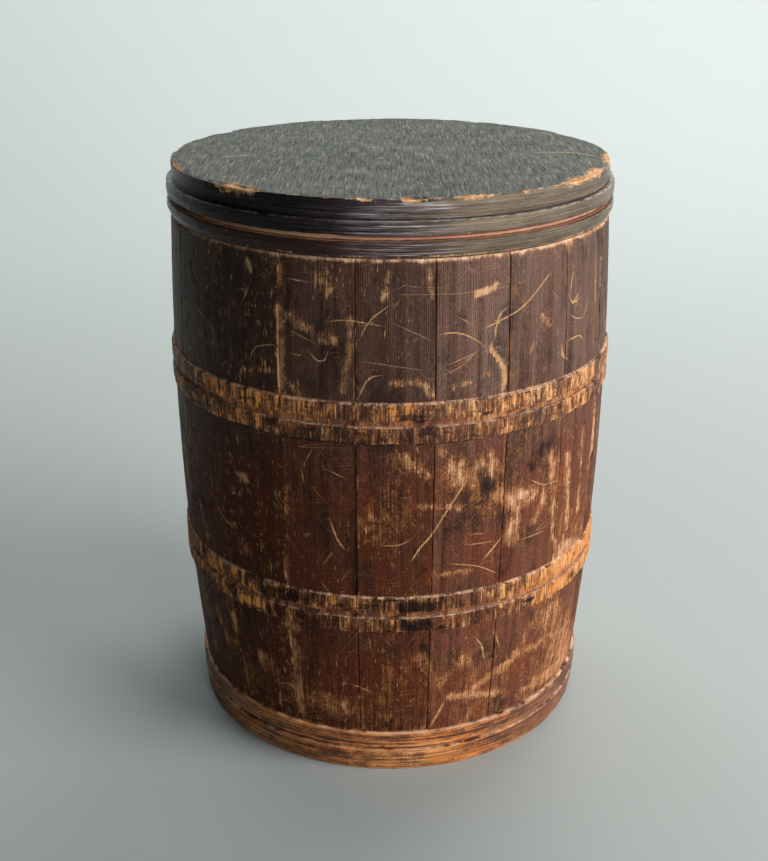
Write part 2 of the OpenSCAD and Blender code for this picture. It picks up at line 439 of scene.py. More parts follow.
# Each scuff: line, half width, strength
SCUFFS = [
    ([(-26, 148), (-25.5, 130), (-26, 114)], 0.8, 0.3), ([(-26.5, 136), (-25, 130)], 1.4, 0.4),
    ([(-26.6, 137), (-26.4, 132)], 0.9, 0.8), ([(-26.5, 122), (-26.5, 116)], 0.8, 0.8),
    ([(-26, 119), (-22, 115)], 1.2, 0.45), ([(-16, 146), (-14, 142.5)], 2.0, 0.42),
    ([(-9.5, 136), (-9, 130), (-10, 125), (-11, 117)], 0.9, 0.45),
    ([(-0.5, 147), (-1.5, 141)], 1.0, 0.5), ([(-24, 135), (-19, 132)], 1.6, 0.42),
    ([(-17, 130), (-13.5, 130)], 1.6, 0.38), ([(8.5, 148), (9.3, 141)], 0.6, 0.5),
    ([(0, 119), (5.5, 120), (8, 118.5), (9, 116)], 0.9, 0.5), ([(14.5, 117.5), (23.5, 120)], 0.8, 0.4),
    ([(20, 141), (22.5, 141.5), (25, 143)], 0.9, 0.8), ([(38, 132.5), (40.8, 130)], 1.0, 0.5),
    ([(-66, 98), (-64, 91)], 1.5, 0.36), ([(-71, 90), (-70, 76)], 1.2, 0.34),
    ([(-60, 71), (-57, 63)], 1.4, 0.38), ([(-66, 40), (-62, 22)], 1.8, 0.34),
    ([(-56, 38), (-52, 30)], 1.5, 0.38), ([(-48, 41), (-46, 36)], 1.3, 0.38),
    ([(-40, 88), (-38.3, 87)], 1.2, 0.9), ([(-35, 147), (-34.5, 145)], 0.8, 0.95),
    ([(-37, 118.5), (-28, 120)], 1.0, 0.4), ([(-39.5, 65)], 1.7, 0.55),
    ([(2, 100), (5.5, 97), (8.5, 94)], 1.4, 0.36), ([(12, 100)], 1.3, 0.42),
    ([(15.5, 95), (19, 92), (23, 94)], 3.0, 0.55), ([(24, 97), (26, 94)], 2.0, 0.36),
    ([(20, 85), (25, 82)], 2.6, 0.2), ([(27.5, 85.5), (32, 83), (36.5, 83)], 2.6, 0.6),
    ([(33, 82), (31.5, 71)], 2.0, 0.6), ([(44, 93), (45, 82)], 1.8, 0.5),
    ([(45, 82), (46.5, 66)], 0.9, 0.42), ([(50.5, 90), (51.5, 81)], 1.5, 0.44),
    ([(51.5, 81), (53, 67)], 1.1, 0.4), ([(6, 85.5), (17, 84)], 0.8, 0.42),
    ([(39, 74.5), (42.5, 82.5)], 1.3, 0.45), ([(11, 64.5), (20, 64.5)], 0.9, 0.45),
    ([(-12, 80), (-4, 80)], 3.5, 0.16), ([(60, 56), (52, 60)], 3.0, 0.5),
    ([(-26, 40), (-25.5, 16)], 1.3, 0.42),
    ([(16.5, 23.5), (22.5, 23), (28.5, 21.5), (32, 20.5)], 1.2, 0.45), ([(20, 35)], 2.0, 0.45),
    ([(-26, 45)], 2.0, 0.5), ([(-36.5, 30.5)], 2.4, 0.5), ([(49, 41), (56, 30), (65, 18.5)], 5.5, 0.36),
    ([(58, 96), (59, 70)], 0.9, 0.5), ([(66, 101), (65, 80)], 1.1, 0.4),
    ([(72, 97), (72, 66)], 1.0, 0.4), ([(62, 141), (62, 119)], 0.6, 0.35),
    ([(23.5, 25), (28, 27.5), (34.5, 30.5), (38.5, 32.5), (44, 31.5)], 1.3, 0.44),
    ([(34.5, 31), (38, 34.5), (40, 38), (41, 40)], 1.1, 0.42),
    ([(46, 32), (50.5, 33), (55, 28), (54, 23)], 1.1, 0.4),
    ([(46, 18), (53, 17.5), (61, 17), (67, 21)], 1.3, 0.42),
    ([(40, 18), (46.5, 16), (55, 15.5)], 0.9, 0.4), ([(8, 38), (14, 30)], 2.6, 0.3),
    ([(-20, 22), (-12, 20)], 3.0, 0.3),
]
# Each black patch: line, half width, strength
BLACK = [
    ([(-34, 148), (-35, 132)], 2.4, 0.6), ([(-33, 54.5), (-25, 55.5)], 2.2, 1.0),
    ([(3, 55.5), (10, 55)], 2.0, 0.9), ([(3.5, 49.5), (9, 49.5)], 2.0, 0.9), ([(-23, 50.5)], 1.6, 1.0),
    ([(-5, 56), (-3, 50)], 1.8, 0.5), ([(-6, 140), (-5, 135)], 2.2, 0.45),
    ([(-20, 119), (-17, 117)], 2.2, 0.45), ([(22, 93), (24, 88.5)], 2.4, 0.75),
    ([(29, 60), (31, 70)], 3.4, 0.55), ([(5, 73), (8, 66)], 2.4, 0.5),
    ([(8, 42), (12, 36), (13, 32)], 1.8, 0.6), ([(37, 92), (41, 96)], 3.2, 0.62),
]
# How far each joint's edges are worn, by its angle from the front
WORN_JOINTS = {-65: 0.25, -46: 0.2, -26.5: 1.0, -8: 0.35, 10: 0.3, 28.5: 0.3, 47: 0.45}
PLAIN_JOINT_WEAR = 0.4
# Staves further round than this have random scuffs
UNSEEN_FROM = 65
# How dark the staves in front are made, by their middle angle: darker to the left of the front than to the
# right
STAVE_TONES = {-74: 0.7, -55: 0.92, -36: 1.05, -17: 0.8, 1: 0.8, 19: 0.28, 38: 0.28, 56: 0.35}

# Chips along the rim of the lid: from and to angle, reach, depth
LID_CHIPS = [
    (-80, -62, 1.3, 0.3),
    (-48, -31, 3.4, 0.6),
    (-10, -3, 1.8, 0.5),
    (0, 8.5, 2.6, 0.9),
    (13, 27, 1.6, 0.5),
    (29, 36, 1.7, 0.4),
    (44, 71, 2.6, 0.5),
    (74, 90, 2.4, 0.4),
    (112, 124, 1.6, 0.5),
    (150, 157, 2.2, 0.7),
    (183, 204, 1.4, 0.4),
    (231, 240, 2.0, 0.6),
    (258, 270, 1.3, 0.4),
]
# How much shorter a chip is down the neck than on the top
CHIP_DROP = 2.2
# How far the faces of the lid's bands are turned back at their edges
LID_CROWN = 0.12
# Scratches on the top of the lid, as lines of (x, y)
LID_SCRATCHES = [
    ([(-47.5, -7), (-42, -5.5), (-37.5, -4)], 0.45, 1.0),
    ([(39, 0.5), (48, 0), (53, -1), (57.5, -7)], 0.45, 1.0), ([(-48, 12), (-44, 11)], 0.5, 0.6),
    ([(41, -14), (44, -13)], 0.4, 0.6), ([(48, -11), (50, -12)], 0.5, 0.6),
    ([(-20, -20), (-14, -24)], 0.2, 0.5), ([(12, -40), (20, -37)], 0.2, 0.5),
    ([(-32, 24), (-20, 27)], 0.2, 0.45), ([(18, 34), (29, 31)], 0.2, 0.45),
    ([(-6, 44), (4, 46)], 0.2, 0.4),
]


# Staves


def stave_span(node):
    """First and last angle of a packed stave."""
    co = np.array([v.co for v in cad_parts[node].data.vertices])
    angle = np.degrees(np.arctan2(co[:, 0], -co[:, 1]))
    middle = np.degrees(np.arctan2(co[:, 0].mean(), -co[:, 1].mean()))
    turn = (angle - middle + 180) % 360 - 180
    return middle + turn.min(), middle + turn.max()


def stave_columns(first, last):
    """Angles across a stave, closer together at its edges."""
    width = arc_mm(last - first)
    edge = np.array(EDGE_STEPS)
    middle = np.linspace(edge[-1], width - edge[-1], int((width - 2 * edge[-1]) / FINE))[1:-1]
    across = np.concatenate([edge, middle, (width - edge)[::-1]])
    return first + np.degrees(across / REF_R)


def hoop_corners(z, proud):
    """Corners of a double hoop, from below to above."""
    r = bulge_r(z + HOOP_H / 2) + proud
    floor = r - HOOP_GROOVE_DEPTH
    low, high = z + HOOP_BAND, z + HOOP_BAND + HOOP_GROOVE
    return [
        (bulge_r(z), z, 0, 0.2),
        (r, z, 0.3, 0.3),
        (r, low, 0.25, 0.2),
        (floor, low, 0, 0.3),
        (floor, high, 0, 0.2),
        (r, high, 0.3, 0.3),
        (r, z + HOOP_H, 0.4, 0.2),
        (bulge_r(z + HOOP_H), z + HOOP_H, 0, FINE),
    ]


def panel_corners(low, high):
    """Points along the bulge between two heights, ends left out."""
    count = max(int((high - low) / 5), 2)
    return [(bulge_r(z), z, 0, FINE) for z in np.linspace(low, high, count + 1)[1:-1]]


def stave_outline():
    """The closed outline of a stave: up the outside, over the top, down the bore and back below."""
    outside = [(FOOT_R, FOOT_Z, 0, FINE)]
    outside += panel_corners(FOOT_Z, LOW_HOOP_Z)
    outside += hoop_corners(LOW_HOOP_Z, LOW_HOOP_PROUD)
    outside += panel_corners(LOW_HOOP_Z + HOOP_H, HIGH_HOOP_Z)
    outside += hoop_corners(HIGH_HOOP_Z, HIGH_HOOP_PROUD)
    outside += panel_corners(HIGH_HOOP_Z + HOOP_H, MOUTH_Z)
    outside += [(MOUTH_R, MOUTH_Z, 0.8, 0.6)]
    inside = [(BORE_R, MOUTH_Z, 0.4, 4.0), (BORE_R, FOOT_Z, 0, 3.0)]
    end = [(FOOT_R, FOOT_Z, 0, 3.0)]
    return rounded(outside + inside + end)[:-1]


def random_scratches(first, last, rng):
    """Short, nearly straight scratches anywhere on a stave."""
    marks = []
    count = rng.integers(10, 17)
    if abs(first + last) / 2 < UNSEEN_FROM:
        count = count // 3
    for _ in range(count):
        a, z = rng.uniform(first, last), rng.uniform(FOOT_Z, MOUTH_Z)
        way, length = np.radians(rng.normal(86, 24)), rng.gamma(1.6, 1.4)
        da, dz = np.degrees(np.cos(way) * length / REF_R), np.sin(way) * length
        line = [(a, z), (a + da + rng.normal(0, 0.15), z + dz), (a + 2 * da, z + 2 * dz)]
        marks.append((line, rng.uniform(0.08, 0.15), rng.uniform(0.1, 0.4)))
    return marks


def random_scuffs(first, last, rng):
    """A few worn patches for a stave at the sides or the back, where none are listed."""
    marks = []
    for _ in range(rng.integers(4, 8)):
        a, z = rng.uniform(first, last), rng.uniform(FOOT_Z, MOUTH_Z)
        lean, length = rng.normal(0, 1.5), rng.gamma(2.0, 3.5)
        marks.append(([(a, z), (a + lean, z + length)], rng.uniform(0.5, 2.0), rng.uniform(0.3, 0.6)))
    return marks


def nearest(table, angle, plain):
    """What a table by angle says of a place, or the plain value where it says nothing."""
    for at, value in table.items():
        if abs(angle - at) < 3:
            return value
    return plain


def stave_surface(index, node):
    """The grid of a stave's skin, with its broad noises and what of it lies outside."""
    s = SimpleNamespace(path=stave_outline())
    s.first, s.last = stave_span(node)
    s.middle = (s.first + s.last) / 2
    s.angle = stave_columns(s.first, s.last)[None]
    s.arc = arc_mm(s.angle)
    s.normal, s.convex, s.hollow = bends(s.path, closed=True)
    s.r, s.z = s.path[:, :1], s.path[:, 1:]
    s.shape = (len(s.path), s.angle.size)
    inside = (s.r < MOUTH_R - 3) | (s.z < FOOT_Z + 1e-6) & (s.r < FOOT_R - 0.1)
    s.outer = np.where(inside, 0.0, 1.0)
    s.right_side = smooth(s.angle, 5, 45)
    s.places = np.stack(np.broadcast_arrays(s.arc, s.z, np.full(s.shape, index * NOISE_APART)), -1)
    s.round_keg = s.places * (1, 1, 0)
    s.broad = noise(s.places, (16, 30, 1), 1)
    s.patchy = noise(s.places, (4, 7, 1), 2)
    return s


def mark_hoops(s):
    """Where the double hoops lie, with their slots and lower rings, the skin next to them, which gets a
    painted shadow just under them, and the upward faces, which get a painted highlight.
    """
    s.hoops, s.slots, s.by_hoop, s.lower, s.under, s.above = np.zeros((6, *s.z.shape))
    for low in (LOW_HOOP_Z, HIGH_HOOP_Z):
        ring, top = low + HOOP_BAND, low + HOOP_H
        s.hoops += between(s.z, low, top, 0.05) * s.outer
        s.slots += between(s.z, ring, ring + HOOP_GROOVE, 0.1) * s.outer
        s.by_hoop += between(s.z, low - 0.3, top + 0.3, 1.2)
        s.lower += between(s.z, low, ring, 0.2)
        s.under += between(s.z, low - 0.4, low, 0.2)
        s.above += between(s.z, top - 0.2, top + 1, 0.2)
    # Painted highlight: the upward faces of the hoops get a pale line, a little stronger towards the front
    # and right.
    s.ledge = smooth(s.normal[:, 1:], 0.3, 0.75) * s.outer * (s.z < MOUTH_Z - 2)
    s.ledge = s.ledge * (0.75 + 0.25 * between(s.angle, -8, 45, 25))


def mark_joints(s):
    """The joint edges: a narrow V in the plain panels that runs out at the hoops."""
    s.left, right = s.arc - arc_mm(s.first), arc_mm(s.last) - s.arc
    s.edge = np.minimum(s.left, right)
    worn = [nearest(WORN_JOINTS, joint, PLAIN_JOINT_WEAR) for joint in (s.first, s.last)]
    s.joint_wear = np.where(s.left < right, *worn)
    very_worn = smooth(s.joint_wear, 0.6, 0.9)
    high_up = smooth(s.z, HIGH_HOOP_Z, HIGH_HOOP_Z + HOOP_H)
    s.along = noise(s.places * (0, 1, 0) + (arc_mm(s.first), 0, 0), (1, 9, 1), 5)
    gap_width = (0.11 + 0.14 * s.along) * (1 - 0.5 * s.by_hoop)
    s.gap_depth = (0.35 + 0.45 * s.along) * (1 - s.by_hoop) * (1 - 0.6 * very_worn)
    s.in_gap = np.clip(1 - s.edge / gap_width, 0, 1)
    s.by_gap = np.exp(-s.edge / (0.35 + 0.4 * s.joint_wear)) * (1 - 0.7 * s.hoops)
    s.by_gap = s.by_gap * (1 - 0.4 * very_worn * (1 - high_up))
    s.seam = (1 - smooth(s.edge, 0.05 + 0.35 * s.patchy**2, 0.25 + s.patchy**2)) * (1 - s.hoops)
    s.seam = s.seam * very_worn * (0.4 + 0.6 * high_up)
    s.seam = s.seam * (0.25 + 0.75 * smooth(noise(s.places, (3, 5, 1), 8), 0.2, 0.6))


def hoop_wear(s, rng):
    """How worn the hoops are: more to the left and right of the front, and less on their lower rings."""
    on_upper, on_lower = s.z > HIGH_HOOP_Z, s.z < HIGH_HOOP_Z
    worn = rng.uniform(0.18, 0.24) + 0.5 * (noise(s.round_keg, (4, 7, 1), 2) - 0.5) + 0.06 * on_upper
    far_right = smooth(s.angle, 15, 55) - 0.8 * smooth(s.angle, 52, 68) * on_upper
    far_left = smooth(-s.angle, 15, 40)
    by_side = far_right * (0.2 + 0.22 * on_lower) + far_left * (0.17 + 0.08 * on_lower)
    worn = worn + by_side * (1 - 0.8 * smooth(np.abs(s.angle), 75, 110))
    return worn - 0.12 * s.lower * (1 - 0.6 * far_left)


def stave_wear(s, scuffs, rng):
    """How far the stain is worn through."""
    streak = noise(s.places, (1.4, 22, 1), 4, 2)
    mouth_reach = 0.35 + 2.6 * (0.12 + 0.88 * s.right_side) * streak * s.patchy
    wear = (0.25 * s.broad + 0.2 * (s.patchy - 0.5)) * (1 - s.hoops)
    wear = wear + 0.45 * s.convex * (0.3 + s.patchy) * (1 - 0.5 * s.ledge) * (1 - 0.9 * s.hoops)
    wear = wear + s.hoops * hoop_wear(s, rng)
    wear = wear + 0.8 * s.by_gap * s.joint_wear * smooth(s.along + 0.5 * s.patchy, 0.35, 0.95)
    wear = wear + 0.8 * np.exp(-(MOUTH_Z - s.z) / mouth_reach)
    wear = wear + 0.14 * smooth(-s.z, -45, -13) + 0.16 * smooth(s.angle, 15, 60) * smooth(-s.z, -110, -60)
    return np.clip((wear + scuffs) * s.outer, 0, 1.4)


def stave_dark(s):
    """Black patches, dirt in the joints, dark spots on the hoops, and painted shade in hollow corners and
    just under the hoops.
    """
    joint = smooth(s.in_gap, 0.1, 0.7) * (0.4 + 0.6 * s.along)
    dark = np.maximum(
        patches(s.arc, s.z, in_mm(BLACK), 0.8),
        joint * (1 - 0.4 * s.joint_wear) * (1 - 0.6 * s.hoops),
    )
    # Painted shade in hollow corners, weaker in the slots and just above the hoops.
    dark = np.maximum(dark, 0.9 * s.hollow**2 * (1 - 0.3 * s.slots) * (1 - 0.65 * s.above))
    dark = np.maximum(dark, 0.7 * s.hoops * smooth(noise(s.round_keg, (7, 2, 1), 6), 0.66, 0.88))
    # Painted shadow: a dark band just under each hoop, weaker to the right where the light falls.
    dark = np.maximum(dark, s.under * (0.35 + 0.5 * s.patchy) * (1 - 0.4 * s.right_side))
    inner_joint = (1 - smooth(s.edge, 0.05, 0.35)) * (1 - s.outer)
    return np.clip(dark * s.outer + 0.75 * inner_joint, 0, 1)


def stave_relief(s, wear, cut, rng):
    """How far the skin stands out: a slight crown, dents, rounded edges, scratches and the joint's V."""
    width = arc_mm(s.last - s.first)
    off = rng.uniform(-0.04, 0.08) * (1 - (2 * s.left / width - 1) ** 2) + rng.uniform(-0.05, 0.05)
    off = off + 0.12 * (s.broad - 0.5) + 0.04 * (noise(s.places, (0.9, 2.4, 1), 3, 2) - 0.5)
    off = off - 0.3 * s.convex * smooth(s.patchy, 0.3, 0.9) - 0.1 * cut
    off = off - 0.1 * smooth(wear, 0.5, 0.9) * (1 - s.hoops) - 0.15 * s.by_gap * s.joint_wear
    off = off - 0.2 * smooth(noise(s.places, (2.2, 2.6, 1), 7, 2), 0.82, 0.98)
    return (off - s.gap_depth * s.in_gap) * s.outer * (1 - smooth(s.z, MOUTH_Z - 0.05, MOUTH_Z))


def stave_mesh(s, name, off, fields):
    """A stave's closed mesh, pushed out by off along its normal."""
    skin_r = s.r + off * s.normal[:, :1]
    skin_z = np.clip(s.z + off * s.normal[:, 1:], FOOT_Z, MOUTH_Z)
    rows, columns = s.shape
    starts = np.arange(rows) * columns
    faces = [
        grid_faces(rows, columns, close_rows=True, close_columns=False),
        starts[None],
        (starts + columns - 1)[None, ::-1],
    ]
    return make_mesh(name, turned(s.angle, skin_r, skin_z).reshape(-1, 3), faces, fields)


def make_stave(index, node, material):
    """One stave, with its joint edges, hoops, wear and marks."""
    rng = np.random.default_rng(SEED * 1000 + index)
    s = stave_surface(index, node)
    mark_hoops(s)
    mark_joints(s)
    marks = in_mm(SCRATCHES) + in_mm(random_scratches(s.first, s.last, rng))
    across, cut = strokes(s.arc, s.z, marks)
    worn_places = SCUFFS
    if abs(s.middle) > UNSEEN_FROM:
        worn_places = SCUFFS + random_scuffs(s.first, s.last, rng)
    wear = stave_wear(s, patches(s.arc, s.z, in_mm(worn_places), 0.9), rng)
    off = stave_relief(s, wear, cut * (np.abs(across) < CUT_WIDTHS), rng)
    lip = 1 - smooth(MOUTH_Z - s.z, 0.3, 0.5 + 0.7 * s.patchy)
    lip = lip * (0.35 + 0.65 * smooth(s.angle, -45, 0))
    fields = dict(
        wear=wear,
        across=across,
        cut=cut * s.outer,
        dark=stave_dark(s),
        inside=1 - s.outer,
        seam=s.seam * s.outer,
        tone=nearest(STAVE_TONES, s.middle, rng.uniform(0, 1)),
        hoop=s.hoops,
        slot=s.slots,
        # This field holds the painted highlight on the upward faces and also the worn pale lip at the mouth.
        ledge=np.maximum(s.ledge, lip) * s.outer,
    )
    fields = {key: np.broadcast_to(values, s.shape) for key, values in fields.items()}
    deep = index * GRAIN_APART + (REF_R - s.r) * GRAIN_PER_DEPTH
    fields["grain"] = np.stack(np.broadcast_arrays(s.arc, s.z, deep), -1)
    piece = stave_mesh(s, node + "_wood", off, fields)
    dress(piece, node, "keg", material)


# Lid and base


def lid_outline():
    """From the middle of the plug's underside, out and up over the bands, to the middle of the top."""
    return rounded([
        (0, PLUG_Z, 0, 4.0),
        (PLUG_R, PLUG_Z, 0.4, 1.0),
        (PLUG_R, MOUTH_Z, 0, 2.0),
        (LID_R - LID_BEVEL_DEPTH, MOUTH_Z, 0.2, 0.3),
        (LID_R, MOUTH_Z + LID_BEVEL_H, 0.5, 0.3),
        (LID_R, LID_GROOVE_Z, 0.2, 0.3),
        (LID_GROOVE_R, LID_GROOVE_Z, 0, 0.3),
        (LID_GROOVE_R, LID_BAND_Z, 0, 0.3),
        (LID_R, LID_BAND_Z, 0.25, 0.3),
        (LID_R, LID_NECK_Z, 0.3, 0.3),
        (LID_NECK_R, LID_NECK_Z, 0, 0.3),
        (LID_NECK_R, LID_TOP, 0.4, 0.45),
        (LID_NECK_R - 6, LID_TOP, 0, 1.0),
        (0, LID_TOP, 0, 1.0),
    ])


def band_crown(z, low, high):
    """How far the face of a band is turned back towards its edges, from 0 in its middle to 1."""
    return np.where((z > low) & (z < high), (2 * (z - low) / (high - low) - 1) ** 2, 0.0)


def lid_chips(s, patchy, fine):
    """The chips in the lid's rim: where they are, the rubbed skin round them, and how deep they go."""
    chips, halo, deep = np.zeros((3, *patchy.shape))
    for first, last, reach, depth in LID_CHIPS:
        turn = (s.angle - (first + last) / 2 + 180) % 360 - 180
        half = (last - first) / 2
        ends = 1 - smooth(np.abs(turn) + 6 * (fine - 0.5), half - 4, half)
        size = reach * (0.35 + 1.2 * patchy) * ends
        here = 1 - smooth(s.from_rim, 0.5 * size, size + 0.05)
        chips = np.maximum(chips, here)
        halo = np.maximum(halo, 0.5 * ends * (1 - smooth(s.from_rim, size, 2 * reach)))
        deep = np.maximum(deep, depth * here * (0.4 + 0.9 * fine))
    return chips, halo, deep


def lid_relief(s, broad, patchy, fine, sunk):
    """How far the lid's skin stands out: rings, crowned bands and softened edges, less what is sunk."""
    rings = noise(s.places, (30, 30, 0.9), 14, 2)
    crown = band_crown(s.z, LID_BAND_Z, LID_NECK_Z) + band_crown(s.z, MOUTH_Z + 1, LID_GROOVE_Z)
    off = 0.12 * (broad - 0.5) + 0.08 * (rings - 0.5) * (1 - s.on_top) + 0.03 * (fine - 0.5)
    off = off - LID_CROWN * crown * (s.r > LID_GROOVE_R + 0.2) * (1 - s.on_top)
    off = off - sunk - 0.25 * s.convex * smooth(patchy, 0.4, 0.9)
    off = np.minimum(off, MOST_PROUD) * (1 - s.below)
    return np.where(s.on_top > 0.5, np.minimum(off, 0), off)


def make_lid(material):
    """The lid: dull paint, a bare groove and a chipped rim."""
    s = round_surface(lid_outline())
    r, z = s.r, s.z
    s.on_top = smooth(z, LID_TOP - 0.15, LID_TOP - 0.02)
    s.below = np.where((z < MOUTH_Z + 0.05) & (r < LID_R - LID_BEVEL_DEPTH - 0.1), 1.0, 0.0)
    s.from_rim = np.hypot(r - LID_NECK_R, CHIP_DROP * (z - LID_TOP))
    in_groove = between(z, LID_GROOVE_Z + 0.05, LID_BAND_Z - 0.05, 0.15) * (r < LID_R - 0.6)
    broad = noise(s.places, 14, 11)
    patchy = noise(s.places, 3.5, 12)
    fine = noise(s.places, 1.2, 13, 2)
    chips, halo, deep = lid_chips(s, patchy, fine)
    across, cut = strokes(s.places[..., 0], s.places[..., 1], LID_SCRATCHES)
    cut = cut * s.on_top

    right_side = smooth(np.sin(np.radians(s.angle)), -0.45, 0.4)
    low_edge = between(z, MOUTH_Z + 0.4, MOUTH_Z + 0.8, 0.3)
    wear = 0.12 * broad + 0.35 * s.convex * (patchy - 0.1)
    wear = wear + 0.8 * low_edge * (0.5 + 0.5 * right_side) * patchy
    rim = np.exp(-s.from_rim / 0.6) * smooth(noise(s.places, (3, 3, 3), 15), 0.35, 0.65)
    wear = np.maximum(wear, 0.95 * rim)
    wear = np.clip(np.maximum(wear, np.maximum(halo, chips)) + in_groove, 0, 1.3) * (1 - s.below)
    round_chip = (1 - smooth(s.from_rim, 1.0, 6.0)) * (1 - chips) * smooth(patchy, 0.35, 0.75)
    # Painted shadow: a dark line in the gap between the bottom of the lid and the staves.
    gap = between(z, MOUTH_Z - 0.1, MOUTH_Z + 0.25, 0.15) * (1 - s.below)
    # Painted shade in hollow corners, a little less in the groove, dark patches round the rim on top, and
    # the painted gap shadow.
    dark = s.hollow * (1 - 0.25 * in_groove) + 0.55 * round_chip * s.on_top + gap
    fields = dict(
        wear=wear,
        across=across,
        cut=cut,
        dark=np.clip(dark, 0, 1),
        inside=s.below,
        top=s.on_top,
        groove=in_groove,
        # Painted highlight on the upward face between the neck and the upper band.
        ledge=smooth(s.normal[:, 1:], 0.3, 0.8) * between(z, LID_BAND_Z + 1, LID_TOP - 1, 0.1),
        # Painted light: the lid's side is made lighter to the right, where the light falls.
        lit_side=right_side,
    )
    off = lid_relief(s, broad, patchy, fine, deep + 0.08 * cut * (np.abs(across) < CUT_WIDTHS))
    piece = turned_piece("lid_wood", s, off, fields)
    dress(piece, "lid", "lid", material)


def base_outline():
    """From the middle of the underside, out and up over the bands, to the middle of the keg's floor."""
    groove_top = BASE_GROOVE_Z + BASE_GROOVE_H
    return rounded([
        (0, 0, 0, 4.0),
        (BASE_FOOT_R, 0, 0.8, 0.4),
        (BASE_R, BASE_GROOVE_Z, 0.3, 0.3),
        (BASE_GROOVE_R, BASE_GROOVE_Z, 0, 0.3),
        (BASE_GROOVE_R, groove_top, 0, 0.3),
        (BASE_R, groove_top, 0.3, 0.3),
        (BASE_R, FOOT_Z, 0.7, 0.3),
        (SPIGOT_R, FOOT_Z, 0, 2.0),
        (SPIGOT_R, SPIGOT_TOP, 0.4, 3.0),
        (0, SPIGOT_TOP, 0, 1.0),
    ])


def make_base(material):
    """The base board: thin stain worn to orange, with its grain lying across."""
    s = round_surface(base_outline())
    r, z, convex = s.r, s.z, s.convex
    broad = noise(s.places, 18, 21)
    patchy = noise(s.places, 4, 22)
    fine = noise(s.places, 1.3, 23, 2)
    rings = noise(s.places, (30, 30, 1.0), 24, 2)
    hidden = np.where((r < FOOT_R - 0.5) & (z > 1), 1.0, 0.0)
    below = np.where((z < 0.05) & (r < BASE_FOOT_R - 0.9), 1.0, 0.0)
    shown = (1 - hidden) * (1 - below)

    at_right = smooth(np.sin(np.radians(s.angle)), 0.2, 0.75)
    wear = 0.3 * broad + 0.2 * patchy + 0.1 * (1 - smooth(z, 2, 9)) + 0.4 * convex * (0.2 + patchy)
    wear = wear + 0.25 * np.cos(np.radians(s.angle - 5)) - 0.4 * at_right
    # Painted shade in hollow corners where the noise is high, and dark blotches.
    dark = np.clip(0.7 * s.hollow * patchy + 0.5 * smooth(patchy, 0.7, 1.0), 0, 1) * (1 - hidden)
    off = 0.1 * (broad - 0.5) + 0.1 * (rings - 0.5) + 0.03 * (fine - 0.5)
    off = off - 0.35 * convex * smooth(patchy, 0.3, 0.9)
    off = np.minimum(off, MOST_PROUD) * shown * smooth(z, 0.0, 0.5)
    fields = dict(
        wear=np.clip(wear, 0, 1.3) * shown,
        dark=dark,
        inside=np.maximum(hidden, below),
        # Painted highlight on the upward faces of the base.
        ledge=smooth(s.normal[:, 1:], 0.5, 0.9) * (1 - hidden),
    )
    piece = turned_piece("base_wood", s, off, fields)
    dress(piece, "base", "keg", material)


# Materials


def srgb(r, g, b):
    """A colour as it looks on a screen, 0 to 255, as the shader's own numbers."""
    c = np.array([r, g, b]) / 255
    return (*np.where(c <= 0.04045, c / 12.92, ((c + 0.055) / 1.055) ** 2.4), 1.0)


class Value:
    """A number that a node gives. It can be added to, multiplied and mapped."""

    def __init__(self, graph, socket):
        self.graph = graph
        self.socket = socket

    def math(self, operation, other=0.0):
        return self.graph.number("ShaderNodeMath", {0: self, 1: other}, operation=operation)

    def __add__(self, other):
        return self.math("ADD", other)

    def __mul__(self, other):
        return self.math("MULTIPLY", other)

    def most(self, other):
        return self.math("MAXIMUM", other)

    def step(self, low, high):
        """0 below low and 1 above high, or the other way round where low is the larger."""
        inputs = {"Value": self, "From Min": low, "From Max": high}
        return self.graph.number("ShaderNodeMapRange", inputs, interpolation_type="SMOOTHSTEP")

    def spread(self, low, high, first=0.0, last=1.0):
        """What runs from first to last, moved to run from low to high."""
        inputs = {"Value": self, "From Min": first, "From Max": last, "To Min": low, "To Max": high}
        return self.graph.number("ShaderNodeMapRange", inputs)


class Graph:
    """A material whose nodes are added by short calls."""

    def __init__(self, name):
        self.material = bpy.data.materials.new(name)
        self.material.use_nodes = True
        self.tree = self.material.node_tree
        self.shader = self.tree.nodes["Principled BSDF"]

    def put(self, socket, value):
        """Links a node's output to a socket, or sets the socket to a plain value."""
        if isinstance(value, Value):
            value = value.socket
        if isinstance(value, bpy.types.NodeSocket):
            self.tree.links.new(value, socket)
        else:
            socket.default_value = value

    def add(self, kind, inputs, output=0, **settings):
        """A new node. Gives one of its outputs."""
        node = self.tree.nodes.new(kind)
        for key, value in settings.items():
            setattr(node, key, value)
        for key, value in inputs.items():
            self.put(node.inputs[key], value)
        return node.outputs[output]

    def number(self, kind, inputs, output=0, **settings):
        return Value(self, self.add(kind, inputs, output, **settings))

    def mix(self, below, over, share):
        """One colour laid over another. A colour is a node's, or three numbers as on a screen."""
        node = self.tree.nodes.new("ShaderNodeMix")
        node.data_type = "RGBA"
        sockets = {s.identifier: s for s in node.inputs}
        self.put(sockets["Factor_Float"], share)
        for key, colour in (("A_Color", below), ("B_Color", over)):
            self.put(sockets[key], srgb(*colour) if isinstance(colour, tuple) else colour)
        return next(s for s in node.outputs if s.identifier == "Result_Color")

    def layers(self, colour, *coats):
        """Coats of (colour, share), laid over a colour one after another."""
        for coat, share in coats:
            colour = self.mix(colour, coat, share)
        return colour

    def shade(self, settings):
        """Sets inputs of the shader by their names."""
        for name, value in settings.items():
            self.put(self.shader.inputs[name], value)
        return self.material


